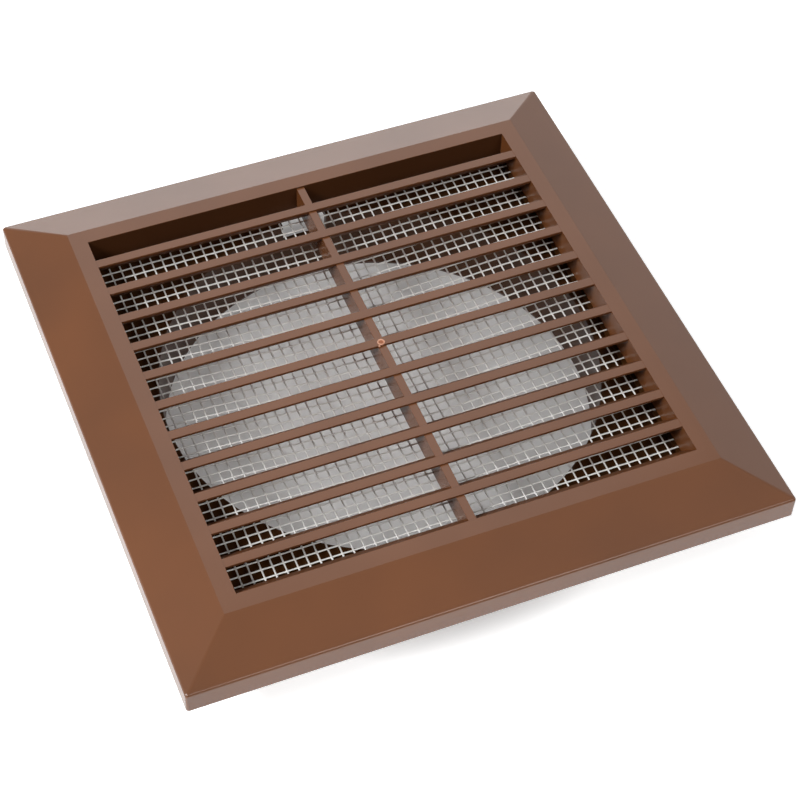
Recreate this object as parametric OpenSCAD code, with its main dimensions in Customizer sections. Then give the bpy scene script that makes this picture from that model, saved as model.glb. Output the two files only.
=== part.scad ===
// Square ventilation grille for a round duct. A bevelled front with fixed sloping louvres pushes
// onto a base plate that carries the duct collar, and a square of woven wire mesh is clamped
// between the two mouldings.
// The origin is on the wall plane at the collar's axis. X runs along the slats, Y points to the
// edge that is on top when the grille hangs on a wall, and Z points out of the wall.

/* [Front frame] */
// Width and height of the whole face
face_w = 200; // [198:1:240]
// How far the flat ring stands out of the wall
face_h = 15.3; // [14:0.1:22]
// Height of the straight skirt between the wall and the bevel
skirt_h = 7.9; // [6:0.1:9]
// Width of the sloping bevel, seen from the front
bevel_w = 18.4; // [16:0.1:19]
// Width of the flat ring between the bevel and the louvred window
ring_w = 5.6; // [3.5:0.1:5.9]
// Wall thickness of the front moulding
wall = 2; // [1.2:0.1:2.4]
// Radius of the skirt's upright corners
corner_r = 1; // [0.4:0.1:3]
// Radius of the long edge between the skirt and the bevel
edge_r = 0.6; // [0.2:0.1:1.5]

/* [Louvres] */
// Number of free slats
slats = 11; // [8:1:14]
// Width of a slat's front face
slat_face = 3.2; // [2:0.05:4.4]
// Width of the slot above the top slat
top_gap = 9; // [7.5:0.1:11]
// Width of the slot between the bottom slat and the sill
sill_gap = 10.1; // [8:0.1:12]
// How far a slat reaches back from its front face
slat_depth = 9; // [7:0.1:9.5]
// Slope of a slat, measured from the face plane in degrees
slat_slope = 51.5; // [45:0.5:65]
// Height of the upright nose along a slat's lower front edge
nose_h = 0.9; // [0.3:0.05:1.2]
// How far the slats lie behind the flat ring
slat_drop = 0.1; // [0.05:0.05:0.6]
// Width of the upright bar that ties the slats together in the middle
mullion_w = 2.7; // [2:0.1:5]
// How far the upright bar lies behind the flat ring
mullion_drop = 0.75; // [0.6:0.05:2]
// Diameter of the round gate mark on the middle slat
gate_d = 2.6; // [1.5:0.1:2.8]
// Width of the gate mark's raised rim
gate_rim = 0.5; // [0.2:0.1:0.7]
// How far that rim stands out of the slat
gate_h = 0.2; // [0.1:0.05:0.3]

/* [Wire mesh] */
// Diameter of one wire
wire_d = 0.6; // [0.3:0.05:0.8]
// Spacing of the upright wires
warp_pitch = 3.59; // [2.5:0.01:6]
// Spacing of the level wires
weft_pitch = 3.32; // [2.5:0.01:6]
// How far the mesh reaches past the window on each side
mesh_lap = 2; // [1.5:0.1:2.2]

/* [Base plate and collar] */
// Thickness of the base plate
plate_t = 2.3; // [1.8:0.1:3]
// Bore of the round duct that the collar enters
duct_d = 150; // [100:1:150]
// Length of the collar behind the wall plane
collar_len = 24.4; // [15:0.1:60]
// Wall of the collar at its mouth
collar_wall = 1.85; // [1.4:0.05:2.4]
// Taper of the collar's inside, in degrees
collar_draft = 2; // [0.5:0.1:3]
// Rounding of the collar's mouth
mouth_r = 0.8; // [0.3:0.1:1.2]
// Bevel round the outside of the collar's free end
tip_bevel = 0.8; // [0.4:0.1:1.2]
// Length of the widened lip inside the collar's free end
lip_len = 1.3; // [0.8:0.1:3]
// Width of the cut-out at the collar's top
notch_w = 16; // [8:1:24]
// How far that cut-out goes down the collar from the wall plane
notch_len = 5.8; // [3:0.1:10]
// How far that cut-out reaches past the window edge into the plate
notch_lap = 2.5; // [1:0.1:4]
// Diameter of the four screw holes
screw_d = 4.5; // [3:0.1:5.5]
// Distance of each screw hole from the face's two nearest outer edges
screw_inset = 16; // [12:0.5:17]

/* [Mesh seat and pegs] */
// Width of the raised seat that carries the mesh
seat_w = 3; // [2.5:0.1:4]
// How far that seat reaches past the mesh's cut edge
seat_lap = 0.5; // [0.2:0.1:1]
// Height of that seat above the plate
seat_h = 1.4; // [0.8:0.1:2]
// Thickness of the walls that clamp the mesh and frame the window
clamp_wall = 1.8; // [1.2:0.1:2]
// Diameter of the four pegs that hold the front on the base
peg_d = 5; // [3:0.1:6]
// Distance of each peg from the face's nearest outer edge
peg_inset = 12; // [11:0.5:13]
// Wall of the sockets that take the pegs
socket_wall = 2; // [1.2:0.1:2.4]

/* [Fits] */
// Clearance round the collar in its duct, on the radius
duct_clearance = 0.5; // [0.2:0.05:1.5]
// Clearance round the base plate inside the skirt
plate_clearance = 1; // [0.4:0.1:1.5]
// Clearance of a peg in its socket, on the radius
peg_clearance = 0.06; // [0.02:0.01:0.1]
// Clearance between a peg's tip and the base plate
peg_tip_clearance = 1; // [0.4:0.1:2]
// Clearance between a socket's top and the bevel above it
socket_clearance = 0.6; // [0.3:0.1:1.5]
// Clearance between two touching layers of the mesh
wire_clearance = 0.02; // [0.01:0.01:0.05]
// Clearance between the mesh and the walls that clamp it
clamp_clearance = 0.06; // [0.03:0.01:0.2]

/* [Hidden] */
$fn = 96;
edge_steps = 4;
peg_tip_bevel = 0.6;
lip_depth = 0.5;
through = 1;

face_half = face_w / 2;
ring_half = face_half - bevel_w;
window_half = ring_half - ring_w;
bevel_slope = atan2(face_h - skirt_h, bevel_w);
mesh_half = window_half + mesh_lap;
seat_outer = mesh_half + seat_lap;
seat_inner = seat_outer - seat_w;
seat_z = plate_t + seat_h;
weft_z = seat_z + wire_clearance + wire_d / 2;
warp_z = weft_z + wire_d + wire_clearance;
clamp_z = warp_z + wire_d / 2 + clamp_clearance;
slat_top = face_h - slat_drop;
slat_bottom = slat_top - slat_depth;
slat_pitch = (2 * window_half - top_gap - sill_gap - slat_face) / (slats - 1);
middle_slat = floor((slats - 1) / 2);
plate_half = face_half - wall - plate_clearance;
collar_r = duct_d / 2 - duct_clearance;
mouth_inner = collar_r - collar_wall;
peg_at = face_half - peg_inset;
socket_r = peg_d / 2 + peg_clearance + socket_wall;
screw_at = face_half - screw_inset;

// Height of the bevel's outer face, and of its underside, at a distance from the centre
function bevel_z(r) = skirt_h + (face_half - r) * tan(bevel_slope);
function under_z(r) = bevel_z(r) - wall / cos(bevel_slope);

// Inner radius of the tapered collar at a height
function bore_r(z) = mouth_inner - (plate_t - mouth_r - z) * tan(collar_draft);

// Centres of the slats, from the top one down, and after them that of the window's sloping sill
function slat_y(i) = (i < slats) ? window_half - top_gap - slat_face / 2 - i * slat_pitch
                                 : -window_half - slat_face / 2;

// Places of the wires: an odd number of them, with one on the centre line
function wire_places(pitch) = let (n = floor((mesh_half - wire_d) / pitch)) [for (i = [-n:n]) i * pitch];

// A square body with the same profile both ways, so that its corners are mitred
module mitred(profile) {
    intersection() {
        rotate([90, 0, 0]) linear_extrude(face_w + through, center = true) polygon(profile);
        rotate([90, 0, 90]) linear_extrude(face_w + through, center = true) polygon(profile);
    }
}

module square_block(half, z0, z1) {
    translate([-half, -half, z0]) cube([2 * half, 2 * half, z1 - z0]);
}

module rounded_square(half, r) {
    square([2 * half, 2 * (half - r)], center = true);
    square([2 * (half - r), 2 * half], center = true);
    for (x = [-1, 1], y = [-1, 1]) translate([x * (half - r), y * (half - r)]) circle(r);
}

// Right half of the outer section: skirt, rounded edge, bevel and ring
function outer_side() =
    let (turn = 90 - bevel_slope, drop = edge_r * tan(turn / 2))
    concat([[face_half, 0]],
           [for (i = [0:edge_steps]) let (a = i * turn / edge_steps)
               [face_half - edge_r + edge_r * cos(a), skirt_h - drop + edge_r * sin(a)]],
           [[ring_half, face_h]]);

// Right half of the hollow behind it, one wall thickness inside
function inner_side() =
    let (r = face_half - wall, flat_z = face_h - wall)
    [[r, -through], [r, under_z(r)], [face_half - (flat_z - under_z(face_half)) / tan(bevel_slope), flat_z]];

function mirrored(side) = concat(side, [for (i = [len(side) - 1:-1:0]) [-side[i][0], side[i][1]]]);

module outer_body() {
    intersection() {
        mitred(mirrored(outer_side()));
        linear_extrude(face_h + through) rounded_square(face_half, corner_r);
    }
}

// Four pegs under the middle of each side of the bevel
module at_pegs() {
    for (a = [0:90:270]) rotate([0, 0, a]) translate([0, peg_at, 0]) children();
}

module pegs() {
    tip_z = plate_t + peg_tip_clearance;
    at_pegs() {
        translate([0, 0, tip_z + peg_tip_bevel]) cylinder(d = peg_d, h = face_h - tip_z);
        translate([0, 0, tip_z]) cylinder(d1 = peg_d - 2 * peg_tip_bevel, d2 = peg_d, h = peg_tip_bevel);
    }
}

// Bevelled frame with the walls round the window and the pegs in its hidden channel
module frame() {
    difference() {
        outer_body();
        difference() {
            mitred(mirrored(inner_side()));
            square_block(window_half + clamp_wall, clamp_z, face_h);
            pegs();
        }
        square_block(window_half, -through, face_h + through);
    }
}

// One slat: it slopes back and up, with parallel sides and a small upright nose
module slat() {
    run = slat_depth / tan(slat_slope);
    nose_run = (slat_depth - nose_h) / tan(slat_slope);
    half = slat_face / 2;
    rotate([90, 0, 90]) linear_extrude(2 * window_half + clamp_wall, center = true)
        polygon([[-half, slat_top], [-half, slat_top - nose_h], [nose_run - half, slat_bottom],
                 [half + run, slat_bottom], [half, slat_top]]);
}

module louvres() {
    intersection() {
        square_block(window_half + clamp_wall / 2, clamp_z, face_h);
        for (i = [0:slats]) translate([0, slat_y(i), 0]) slat();
    }
}

module mullion() {
    translate([-mullion_w / 2, -window_half - clamp_wall / 2, clamp_z])
        cube([mullion_w, 2 * window_half + clamp_wall, face_h - mullion_drop - clamp_z]);
}

// Low round rim that the mould's gate leaves where the middle slat crosses the bar
module gate_mark() {
    translate([0, slat_y(middle_slat), slat_top - gate_h]) difference() {
        cylinder(d = gate_d, h = 2 * gate_h);
        translate([0, 0, gate_h]) cylinder(d = gate_d - 2 * gate_rim, h = gate_h + through);
    }
}

module front_grille() {
    color("#7c4a2f") {
        frame();
        louvres();
        mullion();
        gate_mark();
    }
}

// Raised square seat round the window, on which the mesh lies
module mesh_seat() {
    difference() {
        square_block(seat_outer, plate_t / 2, seat_z);
        square_block(seat_inner, 0, seat_z + through);
    }
}

module sockets() {
    top = under_z(peg_at + socket_r) - socket_clearance;
    at_pegs() translate([0, 0, plate_t / 2]) cylinder(r = socket_r, h = top - plate_t / 2);
}

module collar_outside() {
    translate([0, 0, tip_bevel - collar_len]) cylinder(r = collar_r, h = collar_len - tip_bevel + plate_t / 2);
    translate([0, 0, -collar_len]) cylinder(r1 = collar_r - tip_bevel, r2 = collar_r, h = tip_bevel);
}

// Tapered bore of the collar, with a rounded mouth and a widened lip at the free end
module collar_bore() {
    lip_z = lip_len - collar_len;
    mouth = [for (i = [0:edge_steps]) let (a = 180 - i * 90 / edge_steps)
                [mouth_inner + mouth_r + mouth_r * cos(a), plate_t - mouth_r + mouth_r * sin(a)]];
    rotate_extrude()
        polygon(concat([[0, -collar_len - through], [bore_r(lip_z) + lip_depth, -collar_len - through],
                        [bore_r(lip_z) + lip_depth, -collar_len], [bore_r(lip_z), lip_z]],
                       mouth,
                       [[mouth_inner + mouth_r, plate_t + seat_h + through], [0, plate_t + seat_h + through]]));
}

// Stepped cut-out at the top of the collar's mouth
module notch() {
    reach = window_half + notch_lap;
    translate([-notch_w / 2, mouth_inner / 2, -notch_len])
        cube([notch_w, reach - mouth_inner / 2, notch_len + seat_z + through]);
}

module base_plate() {
    color("#5c3420") difference() {
        union() {
            square_block(plate_half, 0, plate_t);
            mesh_seat();
            sockets();
            collar_outside();
        }
        collar_bore();
        notch();
        at_pegs() translate([0, 0, plate_t]) cylinder(d = peg_d + 2 * peg_clearance, h = face_h);
        for (x = [-1, 1], y = [-1, 1]) translate([x * screw_at, y * screw_at, -through])
            cylinder(d = screw_d, h = plate_t + 2 * through);
    }
}

// Upright wires of the mesh
module mesh_warp_wires() {
    color("silver") for (x = wire_places(warp_pitch))
        translate([x, mesh_half, warp_z]) rotate([90, 0, 0]) cylinder(d = wire_d, h = 2 * mesh_half);
}

// Level wires of the mesh, which lie on the seat
module mesh_weft_wires() {
    color("silver") for (y = wire_places(weft_pitch))
        translate([-mesh_half, y, weft_z]) rotate([0, 90, 0]) cylinder(d = wire_d, h = 2 * mesh_half);
}

front_grille();
base_plate();
mesh_warp_wires();
mesh_weft_wires();
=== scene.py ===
"""Square louvred ventilation grille of brown ABS with a duct collar and a woven wire insect mesh.

It lies face up on its collar. X runs along the slats, Y to the edge that is on top on a wall, Z out of the wall.
"""
import math

import bmesh
import bpy
from mathutils import Matrix, Vector


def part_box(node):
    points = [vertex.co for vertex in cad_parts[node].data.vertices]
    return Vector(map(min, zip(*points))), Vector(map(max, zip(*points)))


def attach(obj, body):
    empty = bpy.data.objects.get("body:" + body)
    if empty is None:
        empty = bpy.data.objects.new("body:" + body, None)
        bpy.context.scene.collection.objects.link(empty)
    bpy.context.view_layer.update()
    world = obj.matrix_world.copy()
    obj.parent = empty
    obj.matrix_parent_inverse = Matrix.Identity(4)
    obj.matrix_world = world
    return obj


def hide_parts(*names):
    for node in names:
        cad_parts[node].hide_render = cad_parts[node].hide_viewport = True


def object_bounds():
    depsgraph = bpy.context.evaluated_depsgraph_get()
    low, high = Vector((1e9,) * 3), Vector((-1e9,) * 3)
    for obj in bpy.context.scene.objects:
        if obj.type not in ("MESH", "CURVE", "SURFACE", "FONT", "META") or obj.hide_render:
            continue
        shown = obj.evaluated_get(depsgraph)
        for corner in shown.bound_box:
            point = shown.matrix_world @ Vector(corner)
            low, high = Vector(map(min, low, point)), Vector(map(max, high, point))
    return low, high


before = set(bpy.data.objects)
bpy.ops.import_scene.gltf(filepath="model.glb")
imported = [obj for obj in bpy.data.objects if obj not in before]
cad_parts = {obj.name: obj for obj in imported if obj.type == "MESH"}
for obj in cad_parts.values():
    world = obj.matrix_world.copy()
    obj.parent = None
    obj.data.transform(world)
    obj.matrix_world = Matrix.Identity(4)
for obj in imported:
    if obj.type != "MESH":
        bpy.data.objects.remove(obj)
cad_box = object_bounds()

# Base plate with its collar
# One injection moulding of brown ABS, coloured darker than the front as painted shade. The flat plate goes on
# the wall, the round collar enters the duct, and the raised seat round the window carries the mesh.
MM = 0.001
MERGE = 0.002 * MM
ABS_IOR = 1.54


def linear(hex_colour):
    """sRGB hex colour as linear red, green, blue and alpha."""
    parts = [int(hex_colour[i:i + 2], 16) / 255 for i in (1, 3, 5)]
    return [p / 12.92 if p <= 0.04045 else ((p + 0.055) / 1.055) ** 2.4 for p in parts] + [1.0]


def add(tree, kind, inputs=None, **settings):
    """Adds a node with its settings, and sets each input to a value or links it to another node's output."""
    made = tree.nodes.new(kind)
    for name, value in settings.items():
        setattr(made, name, value)
    for socket, value in (inputs or {}).items():
        if isinstance(value, bpy.types.NodeSocket):
            tree.links.new(value, made.inputs[socket])
        else:
            made.inputs[socket].default_value = value
    return made


def new_material(name):
    """An empty material and its node tree."""
    made = bpy.data.materials.new(name)
    made.use_nodes = True
    made.node_tree.nodes.clear()
    return made, made.node_tree


def moulded_abs(name, colour, deep_colour, roughness, shine=0.5, matt_and_painted_shade_box=None, painted_shade=1.0):
    """Injection-moulded ABS: an even colour with faint flow clouding, and a polished skin that is a little wavy.

    The grain of the mould's steel is finer than the render can show, and is drawn as coarse as it needs to show.
    Inside the given box, a low and a high corner, the mould was left as it was spark-eroded, so the skin is matt
    there. The colour there is also multiplied by the given shade factor, which is painted shade.
    """
    cloud_size, ripple_size, grain_size = 38 * MM, 9 * MM, 0.7 * MM
    ripple_strength, ripple_height = 0.06, 0.3 * MM
    grain_strength, grain_height = 0.03, 0.05 * MM
    glossier, duller = 0.03, 0.04
    made, tree = new_material(name)
    place = add(tree, "ShaderNodeTexCoord").outputs["Object"]
    clouds = add(tree, "ShaderNodeTexNoise", {"Vector": place, "Scale": 1 / cloud_size, "Detail": 2.0})
    tone = add(tree, "ShaderNodeMix", {"Factor": clouds.outputs["Fac"], 6: linear(colour),
                                       7: linear(deep_colour)}, data_type="RGBA").outputs[2]
    ripple = add(tree, "ShaderNodeTexNoise", {"Vector": place, "Scale": 1 / ripple_size, "Detail": 1.0})
    grain = add(tree, "ShaderNodeTexNoise", {"Vector": place, "Scale": 1 / grain_size, "Detail": 2.0})
    wavy = add(tree, "ShaderNodeBump", {"Height": ripple.outputs["Fac"], "Strength": ripple_strength,
                                        "Distance": ripple_height})
    skin = add(tree, "ShaderNodeBump", {"Height": grain.outputs["Fac"], "Strength": grain_strength,
                                        "Distance": grain_height, "Normal": wavy.outputs["Normal"]})
    gloss = add(tree, "ShaderNodeMapRange", {"Value": clouds.outputs["Fac"], "To Min": roughness - glossier,
                                             "To Max": roughness + duller}).outputs["Result"]
    if matt_and_painted_shade_box is not None:
        matt_roughness, matt_shine, matt_border = 0.62, 0.1, 0.1 * MM
        low, high = matt_and_painted_shade_box
        from_middle = add(tree, "ShaderNodeVectorMath", {0: place, 1: (low + high) / 2}, operation="SUBTRACT")
        away = add(tree, "ShaderNodeVectorMath", {0: from_middle.outputs[0]}, operation="ABSOLUTE")
        outside = add(tree, "ShaderNodeVectorMath", {0: away.outputs[0], 1: (high - low) / 2},
                      operation="SUBTRACT")
        part = add(tree, "ShaderNodeSeparateXYZ", {0: outside.outputs[0]}).outputs
        wider = add(tree, "ShaderNodeMath", {0: part["X"], 1: part["Y"]}, operation="MAXIMUM")
        widest = add(tree, "ShaderNodeMath", {0: wider.outputs[0], 1: part["Z"]}, operation="MAXIMUM")
        polished = add(tree, "ShaderNodeMapRange", {"Value": widest.outputs[0], "From Min": 0.0,
                                                    "From Max": matt_border}).outputs["Result"]
        gloss = add(tree, "ShaderNodeMapRange", {"Value": polished, "To Min": matt_roughness,
                                                 "To Max": gloss}).outputs["Result"]
        shine = add(tree, "ShaderNodeMapRange", {"Value": polished, "To Min": matt_shine,
                                                 "To Max": shine}).outputs["Result"]
        # Painted shade: inside the box the colour is darkened by the shade factor.
        shade = add(tree, "ShaderNodeMapRange", {"Value": polished, "To Min": painted_shade, "To Max": 1.0})
        tone = add(tree, "ShaderNodeMix", {"Factor": 1.0, 6: tone, 7: shade.outputs["Result"]},
                   data_type="RGBA", blend_type="MULTIPLY").outputs[2]
    shader = add(tree, "ShaderNodeBsdfPrincipled", {"Base Color": tone, "IOR": ABS_IOR, "Roughness": gloss,
                                                    "Specular IOR Level": shine,
                                                    "Normal": skin.outputs["Normal"]})
    add(tree, "ShaderNodeOutputMaterial", {"Surface": shader.outputs["BSDF"]})
    return made


def mesh_object(name, mesh, material, body):
    """Puts a finished mesh in the scene as a piece that rides on a body."""
    piece = bpy.data.objects.new(name, mesh)
    bpy.context.scene.collection.objects.link(piece)
    mesh.materials.clear()
    mesh.materials.append(material)
    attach(piece, body)
    return piece


def softened(name, mesh, width=0.0, segments=3, angle=15):
    """The mesh with its edges rounded where a width is given, shaded so that flat faces stay flat.

    Edges sharper than the angle, in degrees, are rounded, or kept sharp where there is no width.
    """
    most_weight = 100
    helper = bpy.data.objects.new(name + "_sharp", mesh)
    bpy.context.scene.collection.objects.link(helper)
    mesh.shade_smooth()
    if width:
        rounding = helper.modifiers.new("rounding", "BEVEL")
        rounding.width = width
        rounding.segments = segments
        rounding.limit_method = "ANGLE"
        rounding.angle_limit = math.radians(angle)
        rounding.use_clamp_overlap = True
    else:
        mesh.set_sharp_from_angle(angle=math.radians(angle))
    weighted = helper.modifiers.new("flat_faces", "WEIGHTED_NORMAL")
    weighted.weight = most_weight
    weighted.keep_sharp = not width
    view = bpy.context.evaluated_depsgraph_get()
    result = bpy.data.meshes.new_from_object(helper.evaluated_get(view), depsgraph=view)
    bpy.data.objects.remove(helper)
    result.name = name
    return result


# The base's dark brown is painted shade: a darker copy of the front's brown ABS.
base_abs = moulded_abs("brown_moulded_ABS_darkened_as_painted_shade", "#4a2b12", "#40250e", 0.34, shine=0.2)
base_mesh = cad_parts["base_plate"].data.copy()
base_form = bmesh.new()
base_form.from_mesh(base_mesh)
bmesh.ops.remove_doubles(base_form, verts=base_form.verts, dist=MERGE)
base_form.to_mesh(base_mesh)
base_form.free()
for carried_over in ("custom_normal", "sharp_face", "sharp_edge"):
    if carried_over in base_mesh.attributes:
        base_mesh.attributes.remove(base_mesh.attributes[carried_over])
base = mesh_object("base_moulding", softened("base_moulding", base_mesh), base_abs, "base")
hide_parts("base_plate")

# Woven wire mesh
# Plain-woven steel wire cloth, dipped in zinc after weaving, which fills its crossings. It is cut square
# and laid on the base plate's seat, and sags a little into the collar.
WIRE = 0.57 * MM
WIRE_SIDES = 6
CRIMP = 0.03 * MM
ZINC_FILLET = 0.18
FILLET_FALL = 6.0
UPRIGHT_PITCH = 3.599 * MM
LEVEL_PITCH = 3.324 * MM
UPRIGHT_FIRST = 1.03 * MM
LEVEL_FIRST = 0.23 * MM
UPRIGHT_SKEW = 0.0036
LEVEL_SKEW = 0.007
SAG = 3.9 * MM
SAG_RADIUS = 72.7 * MM
SAG_MIDDLE = Vector((-1.7, 0.8, 0)) * MM
SAG_ROUNDNESS = 1.6
STRAY = 0.12 * MM
STRAY_SIZE = 22 * MM
LAP = 2 * MM


def galvanised_wire():
    """Hot-dip zinc on steel wire: white and dull from its oxide bloom, mottled, with a faint metal sheen."""
    mottle_size = 1.6 * MM
    sheen, glossiest, dullest = 0.05, 0.3, 0.4
    made, tree = new_material("hot_dip_galvanised_steel_wire")
    place = add(tree, "ShaderNodeTexCoord").outputs["Object"]
    mottle = add(tree, "ShaderNodeTexNoise", {"Vector": place, "Scale": 1 / mottle_size, "Detail": 3.0})
    tone = add(tree, "ShaderNodeMix", {"Factor": mottle.outputs["Fac"], 6: linear("#ffffff"),
                                       7: linear("#f3f1ea")}, data_type="RGBA")
    gloss = add(tree, "ShaderNodeMapRange", {"Value": mottle.outputs["Fac"], "To Min": glossiest,
                                             "To Max": dullest})
    shader = add(tree, "ShaderNodeBsdfPrincipled", {"Base Color": tone.outputs[2], "Metallic": sheen,
                                                    "Roughness": gloss.outputs["Result"]})
    add(tree, "ShaderNodeOutputMaterial", {"Surface": shader.outputs["BSDF"]})
    return made


def geometry_tree(name, inputs):
    """A new Geometry Nodes tree with named inputs: the tree, its inputs as outputs, and their identifiers."""
    tree = bpy.data.node_groups.new(name, "GeometryNodeTree")
    identifiers = {}
    for label, kind in inputs.items():
        socket = tree.interface.new_socket(label, in_out="INPUT", socket_type="NodeSocket" + kind)
        identifiers[label] = socket.identifier
    tree.interface.new_socket("Geometry", in_out="OUTPUT", socket_type="NodeSocketGeometry")
    return tree, add(tree, "NodeGroupInput").outputs, identifiers


def wire_cloth_tree():
    """Geometry Nodes: a row of wires, each crimped over and under the wires that cross it."""
    tree, given, identifiers = geometry_tree("wire_cloth", {
        "Count": "Int", "First": "Vector", "Step": "Vector", "Start": "Vector", "End": "Vector", "Points": "Int",
        "Wire": "Float", "Over": "Float", "Sag": "Float", "Zinc fillet": "Float", "Stray": "Float",
        "Material": "Material"})
    line = add(tree, "GeometryNodeCurvePrimitiveLine", {"Start": given["Start"], "End": given["End"]})
    fine = add(tree, "GeometryNodeResampleCurve", {"Curve": line.outputs[0], "Count": given["Points"]})
    row = add(tree, "GeometryNodeMeshLine", {"Count": given["Count"], "Start Location": given["First"],
                                             "Offset": given["Step"]})
    laid = add(tree, "GeometryNodeInstanceOnPoints", {"Points": row.outputs[0], "Instance": fine.outputs[0]})
    wires = add(tree, "GeometryNodeRealizeInstances", {"Geometry": laid.outputs[0]})
    place = add(tree, "GeometryNodeInputPosition").outputs[0]
    part = add(tree, "ShaderNodeSeparateXYZ", {0: place}).outputs

    # The weave is 1 and -1 by turns at the crossings.
    waves = []
    for axis, first, pitch in ((0, UPRIGHT_FIRST, UPRIGHT_PITCH), (1, LEVEL_FIRST, LEVEL_PITCH)):
        from_first = add(tree, "ShaderNodeMath", {0: part[axis], 1: first}, operation="SUBTRACT")
        turn = add(tree, "ShaderNodeMath", {0: from_first.outputs[0], 1: math.pi / pitch}, operation="MULTIPLY")
        waves.append(add(tree, "ShaderNodeMath", {0: turn.outputs[0]}, operation="COSINE").outputs[0])
    weave = add(tree, "ShaderNodeMath", {0: waves[0], 1: waves[1]}, operation="MULTIPLY")
    crimp = add(tree, "ShaderNodeMath", {0: weave.outputs[0], 1: given["Over"]}, operation="MULTIPLY")

    # The sag is a shallow dish over the collar's mouth.
    flat = add(tree, "ShaderNodeVectorMath", {0: place, 1: (1.0, 1.0, 0.0)}, operation="MULTIPLY")
    from_middle = add(tree, "ShaderNodeVectorMath", {0: flat.outputs[0], 1: SAG_MIDDLE}, operation="SUBTRACT")
    radius = add(tree, "ShaderNodeVectorMath", {0: from_middle.outputs[0]}, operation="LENGTH")
    share = add(tree, "ShaderNodeMath", {0: radius.outputs["Value"], 1: SAG_RADIUS}, operation="DIVIDE",
                use_clamp=True)
    squared = add(tree, "ShaderNodeMath", {0: share.outputs[0], 1: 2.0}, operation="POWER")
    bowl = add(tree, "ShaderNodeMath", {0: 1.0, 1: squared.outputs[0]}, operation="SUBTRACT")
    dish = add(tree, "ShaderNodeMath", {0: bowl.outputs[0], 1: SAG_ROUNDNESS}, operation="POWER")
    sunk = add(tree, "ShaderNodeMath", {0: dish.outputs[0], 1: given["Sag"]}, operation="MULTIPLY")
    height = add(tree, "ShaderNodeMath", {0: crimp.outputs[0], 1: sunk.outputs[0]}, operation="SUBTRACT")

    # The wires stray a little from straight lines, and the whole weave is a little skewed.
    wander = add(tree, "ShaderNodeTexNoise", {"Vector": flat.outputs[0], "Scale": 1 / STRAY_SIZE, "Detail": 1.0})
    centred = add(tree, "ShaderNodeVectorMath", {0: wander.outputs["Color"], 1: (0.5, 0.5, 0.5)},
                  operation="SUBTRACT")
    level = add(tree, "ShaderNodeVectorMath", {0: centred.outputs[0], 1: (2.0, 2.0, 0.0)}, operation="MULTIPLY")
    strayed = add(tree, "ShaderNodeVectorMath", {0: level.outputs[0], 3: given["Stray"]}, operation="SCALE")
    lean_x = add(tree, "ShaderNodeMath", {0: part[1], 1: UPRIGHT_SKEW}, operation="MULTIPLY")
    lean_y = add(tree, "ShaderNodeMath", {0: part[0], 1: LEVEL_SKEW}, operation="MULTIPLY")
    lift = add(tree, "ShaderNodeCombineXYZ", {0: lean_x.outputs[0], 1: lean_y.outputs[0], 2: height.outputs[0]})
    offset = add(tree, "ShaderNodeVectorMath", {0: strayed.outputs[0], 1: lift.outputs[0]}, operation="ADD")

    # The zinc makes a wire thicker close to a crossing.
    at_crossing = add(tree, "ShaderNodeMath", {0: weave.outputs[0]}, operation="ABSOLUTE")
    close_to_it = add(tree, "ShaderNodeMath", {0: at_crossing.outputs[0], 1: FILLET_FALL}, operation="POWER")
    swell = add(tree, "ShaderNodeMath", {0: close_to_it.outputs[0], 1: given["Zinc fillet"], 2: 1.0},
                operation="MULTIPLY_ADD")
    held = add(tree, "GeometryNodeCaptureAttribute", {"Geometry": wires.outputs[0]})
    held.capture_items.new("FLOAT", "swell")
    tree.links.new(swell.outputs[0], held.inputs["swell"])
    shaped = add(tree, "GeometryNodeSetPosition", {"Geometry": held.outputs["Geometry"],
                                                   "Offset": offset.outputs[0]})
    thick = add(tree, "ShaderNodeMath", {0: given["Wire"], 1: 0.5}, operation="MULTIPLY")
    round_section = add(tree, "GeometryNodeCurvePrimitiveCircle", {"Resolution": WIRE_SIDES,
                                                                   "Radius": thick.outputs[0]})
    solid = add(tree, "GeometryNodeCurveToMesh", {"Curve": shaped.outputs[0], "Scale": held.outputs["swell"],
                                                  "Profile Curve": round_section.outputs[0], "Fill Caps": True})
    smooth = add(tree, "GeometryNodeSetShadeSmooth", {0: solid.outputs[0]})
    clad = add(tree, "GeometryNodeSetMaterial", {"Geometry": smooth.outputs[0], "Material": given["Material"]})
    add(tree, "NodeGroupOutput", {0: clad.outputs[0]})
    return tree, identifiers


def grown(name, seed_mesh, tree, identifiers, values):
    """Runs a Geometry Nodes tree on a mesh and returns the result as a plain mesh."""
    seed = bpy.data.objects.new(name + "_seed", seed_mesh)
    bpy.context.scene.collection.objects.link(seed)
    nodes = seed.modifiers.new("grow", "NODES")
    nodes.node_group = tree
    for key, value in values.items():
        nodes[identifiers[key]] = value
    view = bpy.context.evaluated_depsgraph_get()
    result = bpy.data.meshes.new_from_object(seed.evaluated_get(view), depsgraph=view)
    bpy.data.objects.remove(seed)
    result.name = name
    return result


wire_material = galvanised_wire()
cloth_tree, cloth_inputs = wire_cloth_tree()
warp_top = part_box("mesh_warp_wires")[1]
weft_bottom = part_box("mesh_weft_wires")[0]
cloth_half = warp_top.y
cloth_z = (warp_top.z + weft_bottom.z) / 2


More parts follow.
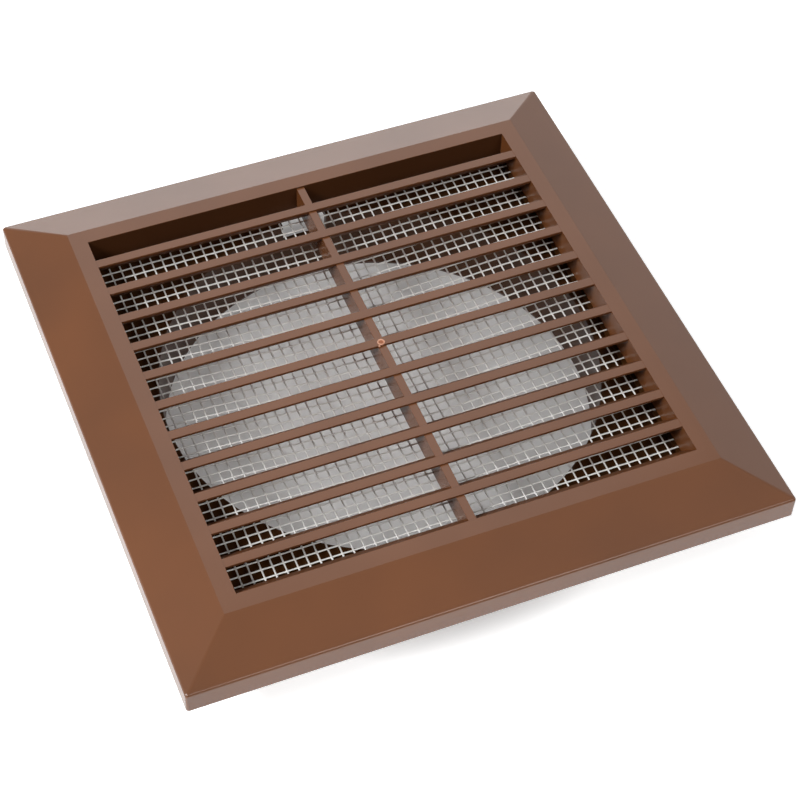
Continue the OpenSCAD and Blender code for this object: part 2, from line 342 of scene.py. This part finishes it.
def lay_wires(name, node, across, along, first, pitch, over):
    """One set of wires: a row of them across the window, each cut at the edge of the cloth."""
    points_per_wire = 281
    most_stray = 4 * STRAY
    reach = cloth_half - LAP
    cut = cloth_half - most_stray
    before = math.floor((reach + first) / pitch)
    count = before + math.floor((reach - first) / pitch) + 1
    values = {"Count": count, "First": across * (first - before * pitch) + Vector((0, 0, cloth_z)),
              "Step": across * pitch, "Start": along * -cut, "End": along * cut, "Points": points_per_wire,
              "Wire": WIRE, "Over": over * CRIMP, "Sag": SAG, "Zinc fillet": ZINC_FILLET, "Stray": STRAY,
              "Material": wire_material}
    wires_mesh = grown(name, bpy.data.meshes.new(name + "_seed"), cloth_tree, cloth_inputs, values)
    piece = mesh_object(name, wires_mesh, wire_material, "base")
    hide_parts(node)


ACROSS, UP = Vector((1, 0, 0)), Vector((0, 1, 0))
lay_wires("upright_mesh_wires", "mesh_warp_wires", ACROSS, UP, UPRIGHT_FIRST, UPRIGHT_PITCH, 1.0)
lay_wires("level_mesh_wires", "mesh_weft_wires", UP, ACROSS, LEVEL_FIRST, LEVEL_PITCH, -1.0)

# Front moulding, its bevelled frame
# One shot of glossy brown ABS, with a straight skirt, a wide mitred bevel, a narrow flat ring and
# upright walls down to the mesh. Every edge has the small radius that the mould was polished to.
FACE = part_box("front_grille")[1].x
FACE_Z = 15.3 * MM
SKIRT_Z = 7.9 * MM
BEVEL_W = 18.4 * MM
RING_W = 5.6 * MM
RING = FACE - BEVEL_W
WINDOW = RING - RING_W
WALL = 2 * MM
CLAMP_WALL = 1.8 * MM
CLAMP_Z = 5 * MM
EDGE_R = 1.0 * MM
CORNER_R = 1 * MM
RING_CORNER_R = 0.4 * MM
SHARP = 0.15 * MM
FOLD_R = 0.22 * MM
FRONT_BROWN, FRONT_DEEP_BROWN = "#784827", "#613a20"
FRONT_ROUGHNESS = 0.24

# The wall above the top slot is matt, from a little behind its skin to a little below the ring.
# There its colour is darkened to 0.42 as painted shade.
matt_behind, matt_below = 0.1 * MM, 0.3 * MM
top_slot_wall = (Vector((-WINDOW, WINDOW - matt_below, 0)),
                 Vector((WINDOW, WINDOW + matt_behind, FACE_Z - matt_below)))
front_abs = moulded_abs("brown_moulded_ABS", FRONT_BROWN, FRONT_DEEP_BROWN, FRONT_ROUGHNESS,
                        matt_and_painted_shade_box=top_slot_wall, painted_shade=0.42)


def closed_mesh(name, form):
    """Turns a closed form's faces outwards and makes it a mesh."""
    bmesh.ops.recalc_face_normals(form, faces=form.faces)
    made = bpy.data.meshes.new(name)
    form.to_mesh(made)
    form.free()
    return made


def square_loft(name, section, corner_steps=4):
    """Closed mesh from a section of (half-size, height, corner radius), carried round a square."""
    form = bmesh.new()
    loops = []
    for half, z, corner in section:
        loop = []
        for quarter in range(4):
            turn = Matrix.Rotation(quarter * math.pi / 2, 4, "Z")
            for step in range(corner_steps + 1):
                angle = step * math.pi / 2 / corner_steps
                point = Vector((half - corner + corner * math.cos(angle),
                                half - corner + corner * math.sin(angle), z))
                loop.append(form.verts.new(turn @ point))
        loops.append(loop)
    for a, b in zip(loops, loops[1:] + loops[:1]):
        for i in range(len(a)):
            j = (i + 1) % len(a)
            form.faces.new((a[i], a[j], b[j], b[i]))
    return closed_mesh(name, form)


# The skirt turns into the bevel on an arc.
bevel_slope = math.atan2(FACE_Z - SKIRT_Z, FACE - RING)
edge_drop = EDGE_R * math.tan((math.pi / 2 - bevel_slope) / 2)
edge_steps = 6
edge_arc = []
for step in range(edge_steps + 1):
    turned_by = step * (math.pi / 2 - bevel_slope) / edge_steps
    edge_arc.append((FACE - EDGE_R + EDGE_R * math.cos(turned_by),
                     SKIRT_Z - edge_drop + EDGE_R * math.sin(turned_by), CORNER_R))

# The inside follows the outside, one wall's thickness behind it.
under_drop = WALL / math.cos(bevel_slope)
flat_under = FACE_Z - WALL
under_turn = FACE - (flat_under - SKIRT_Z + under_drop) / math.tan(bevel_slope)
skirt_inner = FACE - WALL
under_corner = SKIRT_Z + WALL * math.tan(bevel_slope) - under_drop
frame_section = ([(FACE, 0, CORNER_R)] + edge_arc
                 + [(RING, FACE_Z, RING_CORNER_R), (WINDOW, FACE_Z, SHARP), (WINDOW, CLAMP_Z, SHARP),
                    (WINDOW + CLAMP_WALL, CLAMP_Z, SHARP), (WINDOW + CLAMP_WALL, flat_under, SHARP),
                    (under_turn, flat_under, SHARP), (skirt_inner, under_corner, SHARP),
                    (skirt_inner, 0, SHARP)])
frame_mesh = softened("front_frame", square_loft("frame_form", frame_section), FOLD_R)
front = mesh_object("front_frame", frame_mesh, front_abs, "front")
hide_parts("front_grille")

# Front moulding, its slats
# Eleven free slats and the window's sloping sill, moulded with the frame. They slope back and up so that
# rain runs out, and each has a small upright nose along its lower front edge.
SLATS = 11
SLAT_TOP = FACE_Z - 0.1 * MM
SLAT_FACE = 3.2 * MM
SLAT_DEPTH = 9 * MM
SLAT_SLOPE = math.radians(51.5)
SLAT_EDGE_R = 0.07 * MM
SLAT_POLISH = 0.25 * MM
NOSE = 0.9 * MM
TOP_GAP = 9 * MM
SILL_GAP = 10.1 * MM
slat_pitch = (2 * WINDOW - TOP_GAP - SILL_GAP - SLAT_FACE) / (SLATS - 1)
# The slats' sides below their polished faces are matt, and darkened a little as painted shade in the slots.
slat_sides = (Vector((-FACE, -FACE, 0)), Vector((FACE, FACE, SLAT_TOP - SLAT_POLISH)))
slat_abs = moulded_abs("brown_moulded_ABS_matt_with_painted_shade_in_the_slots", FRONT_BROWN, FRONT_DEEP_BROWN, FRONT_ROUGHNESS,
                       matt_and_painted_shade_box=slat_sides, painted_shade=0.9)


def prism(name, outline, half_length, axis):
    """A straight bar with the given outline, running along X or Y from -half_length to half_length."""
    form = bmesh.new()
    ends = []
    for side in (-half_length, half_length):
        ends.append([form.verts.new((side, u, v) if axis == "X" else (u, side, v)) for u, v in outline])
    form.faces.new(ends[0])
    form.faces.new(reversed(ends[1]))
    for i in range(len(outline)):
        j = (i + 1) % len(outline)
        form.faces.new((ends[0][i], ends[0][j], ends[1][j], ends[1][i]))
    return closed_mesh(name, form)


def row_tree():
    """Geometry Nodes: copies of the seed mesh in a straight row."""
    tree, given, identifiers = geometry_tree("row", {
        "Geometry": "Geometry", "Count": "Int", "First": "Vector", "Step": "Vector", "Material": "Material"})
    row = add(tree, "GeometryNodeMeshLine", {"Count": given["Count"], "Start Location": given["First"],
                                             "Offset": given["Step"]})
    copies = add(tree, "GeometryNodeInstanceOnPoints", {"Points": row.outputs[0],
                                                        "Instance": given["Geometry"]})
    joined = add(tree, "GeometryNodeRealizeInstances", {"Geometry": copies.outputs[0]})
    clad = add(tree, "GeometryNodeSetMaterial", {"Geometry": joined.outputs[0], "Material": given["Material"]})
    add(tree, "NodeGroupOutput", {0: clad.outputs[0]})
    return tree, identifiers


half_face = SLAT_FACE / 2
slat_bottom = SLAT_TOP - SLAT_DEPTH
run = SLAT_DEPTH / math.tan(SLAT_SLOPE)
nose_run = (SLAT_DEPTH - NOSE) / math.tan(SLAT_SLOPE)
slat_outline = [(-half_face, SLAT_TOP), (-half_face, SLAT_TOP - NOSE), (nose_run - half_face, slat_bottom),
                (half_face + run, slat_bottom), (half_face, SLAT_TOP)]
slat_form = prism("slat_form", slat_outline, WINDOW + CLAMP_WALL / 2, "X")
slat_mesh = softened("slat", slat_form, SLAT_EDGE_R, segments=2)
slat_row_tree, row_inputs = row_tree()
first_slat_y = WINDOW - TOP_GAP - half_face
slats_mesh = grown("front_slats", slat_mesh, slat_row_tree, row_inputs,
                   {"Count": SLATS, "First": Vector((0, first_slat_y, 0)), "Step": Vector((0, -slat_pitch, 0)),
                    "Material": slat_abs})
mesh_object("front_slats", slats_mesh, slat_abs, "front")
sill_mesh = slat_mesh.copy()
sill_mesh.transform(Matrix.Translation((0, -WINDOW - half_face, 0)))
mesh_object("front_sill", sill_mesh, slat_abs, "front")

# Front moulding, its middle bar
# A thin upright bar, moulded with the slats, that ties them together. It lies a little behind their faces
# and reaches down to the mesh.
BAR_W = 2.7 * MM
BAR_TOP = FACE_Z - 0.75 * MM
BAR_EDGE_R = 0.08 * MM
bar_outline = [(-BAR_W / 2, BAR_TOP), (-BAR_W / 2, CLAMP_Z), (BAR_W / 2, CLAMP_Z), (BAR_W / 2, BAR_TOP)]
bar_form = prism("bar_form", bar_outline, WINDOW + CLAMP_WALL / 2, "Y")
bar_abs = moulded_abs("brown_moulded_ABS_polished", FRONT_BROWN, FRONT_DEEP_BROWN, FRONT_ROUGHNESS)
mesh_object("front_bar", softened("front_bar", bar_form, BAR_EDGE_R), bar_abs, "front")

# Front moulding, its gate mark
# Where the hot plastic entered the mould, on the middle slat: a low round rim with a torn, darker middle, and
# one stray chip of the torn gate on the slat's edge. Rim and chip are pale, partly stress-whitened and partly
# a painted highlight.
GATE_R = 1.25 * MM
GATE_RIM = 0.4 * MM
GATE_TOP = SLAT_TOP + 0.2 * MM
GATE_FLOOR = SLAT_TOP + 0.05 * MM
GATE_ROOT = SLAT_TOP - 0.3 * MM
GATE_EDGE_R = 0.07 * MM
GATE_Y = first_slat_y - SLATS // 2 * slat_pitch - 0.4 * MM
CHIP_R = 0.38 * MM
CHIP_AT = (-1.1 * MM, GATE_Y - 1.2 * MM)
CHIP_CROWN = SLAT_TOP + 0.08 * MM
CHIP_SHOULDER_R, CHIP_SHOULDER = 0.6 * CHIP_R, SLAT_TOP + 0.05 * MM
CHIP_SIDE = SLAT_TOP - 0.1 * MM
CHIP_ROOT = SLAT_TOP - 0.4 * MM


def gate_plastic():
    """Torn and dark in the middle, and pale and dull outside, partly stress-whitened and partly painted
    highlight.
    """
    dark_to, pale_from = GATE_R - 1.5 * GATE_RIM, GATE_R - 0.9 * GATE_RIM
    tear_size = 0.9 * MM
    torn_roughness = 0.5
    made, tree = new_material("whitened_ABS_with_painted_highlight")
    place = add(tree, "ShaderNodeTexCoord").outputs["Object"]
    flat = add(tree, "ShaderNodeVectorMath", {0: place, 1: (1.0, 1.0, 0.0)}, operation="MULTIPLY")
    out = add(tree, "ShaderNodeVectorMath", {0: flat.outputs[0], 1: Vector((0, GATE_Y, 0))},
              operation="SUBTRACT")
    radius = add(tree, "ShaderNodeVectorMath", {0: out.outputs[0]}, operation="LENGTH").outputs["Value"]
    ring = add(tree, "ShaderNodeMapRange", {"Value": radius, "From Min": dark_to, "From Max": pale_from})
    tears = add(tree, "ShaderNodeTexNoise", {"Vector": place, "Scale": 1 / tear_size, "Detail": 2.0})
    pale = add(tree, "ShaderNodeMix", {"Factor": tears.outputs["Fac"], 6: linear("#f7c4a8"),
                                       7: linear("#a5653f")}, data_type="RGBA")
    tone = add(tree, "ShaderNodeMix", {"Factor": ring.outputs[0], 6: linear("#9a5a38"), 7: pale.outputs[2]},
               data_type="RGBA")
    shader = add(tree, "ShaderNodeBsdfPrincipled", {"Base Color": tone.outputs[2], "IOR": ABS_IOR,
                                                    "Roughness": torn_roughness})
    add(tree, "ShaderNodeOutputMaterial", {"Surface": shader.outputs["BSDF"]})
    return made


def lathe(name, outline, middle, sides):
    """A closed outline of (radius, height) turned round an upright axis; it starts and ends on the axis."""
    form = bmesh.new()
    rings = []
    for radius, z in outline[1:-1]:
        rings.append([form.verts.new((middle[0] + radius * math.cos(2 * math.pi * i / sides),
                                      middle[1] + radius * math.sin(2 * math.pi * i / sides), z))
                      for i in range(sides)])
    tips = [form.verts.new((middle[0], middle[1], z)) for radius, z in (outline[0], outline[-1])]
    for i in range(sides):
        j = (i + 1) % sides
        form.faces.new((tips[0], rings[0][i], rings[0][j]))
        form.faces.new((tips[1], rings[-1][j], rings[-1][i]))
        for a, b in zip(rings, rings[1:]):
            form.faces.new((a[i], b[i], b[j], a[j]))
    return closed_mesh(name, form)


gate_inner = GATE_R - GATE_RIM
gate_outline = [(0, GATE_FLOOR), (gate_inner, GATE_FLOOR), (gate_inner, GATE_TOP), (GATE_R, GATE_TOP),
                (GATE_R, GATE_ROOT), (0, GATE_ROOT)]
gate_form = lathe("gate_form", gate_outline, (0, GATE_Y), sides=48)
gate_abs = gate_plastic()
mesh_object("front_gate_mark", softened("front_gate_mark", gate_form, GATE_EDGE_R, angle=30), gate_abs, "front")
chip_outline = [(0, CHIP_CROWN), (CHIP_SHOULDER_R, CHIP_SHOULDER), (CHIP_R, CHIP_SIDE), (CHIP_R, CHIP_ROOT),
                (0, CHIP_ROOT)]
chip_mesh = lathe("front_gate_chip", chip_outline, CHIP_AT, sides=16)
chip_mesh.shade_smooth()
mesh_object("front_gate_chip", chip_mesh, gate_abs, "front")

# Camera
# At the photograph's angle: above the grille's lower left corner, with a long lens.
CAMERA_AT = Vector((-174.83, -414.27, 533.10)) * MM
camera_right = Vector((0.927465, -0.372973, 0.026448))
camera_up = Vector((0.272734, 0.723197, 0.634509))
camera_data = bpy.data.cameras.new("camera")
camera_data.sensor_width = 36
camera_data.lens = 95.14
camera = bpy.data.objects.new("camera", camera_data)
bpy.context.scene.collection.objects.link(camera)
turned = Matrix((camera_right, camera_up, camera_right.cross(camera_up))).transposed()
camera.matrix_world = Matrix.Translation(CAMERA_AT) @ turned.to_4x4()
bpy.context.scene.camera = camera

# Floor
# White matt paper under the collar. The camera sees it white, and darker under the grille and in the collar,
# where its glow is lowered as painted shade. In reflections it ends in front of the grille.
FLOOR_HALF = 4
PAPER_GLOW = 0.72
PAPER_BOUNCE = 0.34
SHADE_GLOW = 0.15
SHADE_MIDDLE = Vector((0, 8, 0)) * MM
SHADE_FROM, SHADE_TO = 86 * MM, 104 * MM
PAPER_FADES, PAPER_ENDS = -150 * MM, -250 * MM
MIRRORED_LEAST = 0.1


def seen_rays(tree):
    """One for a ray from the camera, a reflection or a clear body, and nought for light that falls on things."""
    rays = add(tree, "ShaderNodeLightPath").outputs
    mirrored = add(tree, "ShaderNodeMath", {0: rays["Is Camera Ray"], 1: rays["Is Glossy Ray"]},
                   operation="ADD")
    clear = add(tree, "ShaderNodeMath", {0: mirrored.outputs[0], 1: rays["Is Transmission Ray"]},
                operation="ADD", use_clamp=True)
    return clear.outputs[0]


def mirrored_dark(tree, value, bright_at, dark_at, least):
    """One, but in reflections it falls to least as the value goes from bright_at to dark_at."""
    fall = add(tree, "ShaderNodeMapRange", {"Value": value, "From Min": dark_at, "From Max": bright_at,
                                            "To Min": least, "To Max": 1.0})
    glossy = add(tree, "ShaderNodeLightPath").outputs["Is Glossy Ray"]
    return add(tree, "ShaderNodeMapRange", {"Value": glossy, "To Min": 1.0,
                                            "To Max": fall.outputs["Result"]}).outputs["Result"]


floor_form = bmesh.new()
bmesh.ops.create_grid(floor_form, x_segments=1, y_segments=1, size=FLOOR_HALF)
floor_mesh = bpy.data.meshes.new("floor")
floor_form.to_mesh(floor_mesh)
floor_form.free()
floor = bpy.data.objects.new("floor", floor_mesh)
floor.location.z = cad_box[0][2]
bpy.context.scene.collection.objects.link(floor)
floor_paper, paper = new_material("white_matt_paper")
floor_diffuse = add(paper, "ShaderNodeBsdfDiffuse", {"Color": linear("#ededed")})
floor_place = add(paper, "ShaderNodeTexCoord").outputs["Object"]
# Painted shade: under the grille the glow that the camera sees is lowered to SHADE_GLOW.
from_shade = add(paper, "ShaderNodeVectorMath", {0: floor_place, 1: SHADE_MIDDLE}, operation="SUBTRACT")
floor_radius = add(paper, "ShaderNodeVectorMath", {0: from_shade.outputs[0]}, operation="LENGTH")
beside = add(paper, "ShaderNodeMapRange", {"Value": floor_radius.outputs["Value"], "From Min": SHADE_FROM,
                                           "From Max": SHADE_TO, "To Min": SHADE_GLOW, "To Max": 1.0})
along_y = add(paper, "ShaderNodeSeparateXYZ", {0: floor_place}).outputs["Y"]
paper_end = mirrored_dark(paper, along_y, PAPER_FADES, PAPER_ENDS, MIRRORED_LEAST)
paper_light = add(paper, "ShaderNodeMath", {0: paper_end, 1: PAPER_GLOW}, operation="MULTIPLY")
seen_glow = add(paper, "ShaderNodeMath", {0: beside.outputs[0], 1: paper_light.outputs[0]},
                operation="MULTIPLY")
glow = add(paper, "ShaderNodeMapRange", {"Value": seen_rays(paper), "To Min": PAPER_BOUNCE,
                                         "To Max": seen_glow.outputs[0]})
floor_glow = add(paper, "ShaderNodeEmission", {"Strength": glow.outputs[0]})
floor_shader = add(paper, "ShaderNodeAddShader", {0: floor_diffuse.outputs[0], 1: floor_glow.outputs[0]})
add(paper, "ShaderNodeOutputMaterial", {"Surface": floor_shader.outputs[0]})
floor_mesh.materials.append(floor_paper)

# Room
# Plain and white, greyer overhead, with little light of its own. In reflections only, it is dark behind the
# camera and dim in its far left corner. Each pair is where a change starts and ends in the ray's direction.
ROOM_FILL = 0.08
CEILING_FROM, CEILING_TO, CEILING_LEAST = 0.42, 0.95, 0.5
FRONT_FROM, FRONT_TO = -0.45, -0.6
LEFT_FROM, LEFT_TO = -0.1, -0.35
CORNER_FROM, CORNER_TO, CORNER_LEAST = 0.5, 0.68, 0.55
world = bpy.data.worlds.new("room")
world.use_nodes = True
room = world.node_tree
room.nodes.clear()
way_out = add(room, "ShaderNodeTexCoord").outputs["Generated"]
way_parts = add(room, "ShaderNodeSeparateXYZ", {0: way_out}).outputs
ceiling = add(room, "ShaderNodeMapRange", {"Value": way_parts["Z"], "From Min": CEILING_FROM,
                                           "From Max": CEILING_TO, "To Min": 1.0, "To Max": CEILING_LEAST})
front_dark = mirrored_dark(room, way_parts["Y"], FRONT_FROM, FRONT_TO, MIRRORED_LEAST)
left = add(room, "ShaderNodeMapRange", {"Value": way_parts["X"], "From Min": LEFT_FROM, "From Max": LEFT_TO})
left_back = add(room, "ShaderNodeMath", {0: left.outputs[0], 1: way_parts["Y"]}, operation="MULTIPLY")
left_dark = mirrored_dark(room, left_back.outputs[0], CORNER_FROM, CORNER_TO, CORNER_LEAST)
shaded = add(room, "ShaderNodeMath", {0: front_dark, 1: left_dark}, operation="MULTIPLY")
seen_room = add(room, "ShaderNodeMath", {0: ceiling.outputs[0], 1: shaded.outputs[0]}, operation="MULTIPLY")
strength = add(room, "ShaderNodeMapRange", {"Value": seen_rays(room), "To Min": ROOM_FILL,
                                            "To Max": seen_room.outputs[0]})
sky = add(room, "ShaderNodeBackground", {"Color": linear("#ffffff"), "Strength": strength.outputs[0]})
add(room, "ShaderNodeOutputWorld", {"Surface": sky.outputs[0]})
bpy.context.scene.world = world

# Lamps
# Four soft studio lamps: the main one on the left, a low strip and a box behind the grille, and one in front.
LAMP_DISTANCE = 2.0


def softbox(name, azimuth, elevation, width, height, radiance):
    """A flat lamp that faces the grille. Azimuth is counted from +Y towards +X, in degrees; sizes in metres."""
    lamp = bpy.data.lights.new(name, "AREA")
    lamp.shape = "RECTANGLE"
    lamp.size = width
    lamp.size_y = height
    lamp.energy = radiance * math.pi * width * height
    made = bpy.data.objects.new(name, lamp)
    bpy.context.scene.collection.objects.link(made)
    az, el = math.radians(azimuth), math.radians(elevation)
    way = Vector((math.sin(az) * math.cos(el), math.cos(az) * math.cos(el), math.sin(el)))
    facing = way.to_track_quat("Z", "Y").to_matrix().to_4x4()
    made.matrix_world = Matrix.Translation(way * LAMP_DISTANCE) @ facing


softbox("key_left", 259, 45, 1.0, 0.42, 29.5)
softbox("back_strip", 8, 9, 1.2, 0.5, 1.7)
softbox("top_box", 14, 49, 1.2, 0.85, 1.0)
softbox("front_box", 159, 46, 0.8, 0.8, 5.6)

bpy.context.scene.view_settings.view_transform = "Standard"
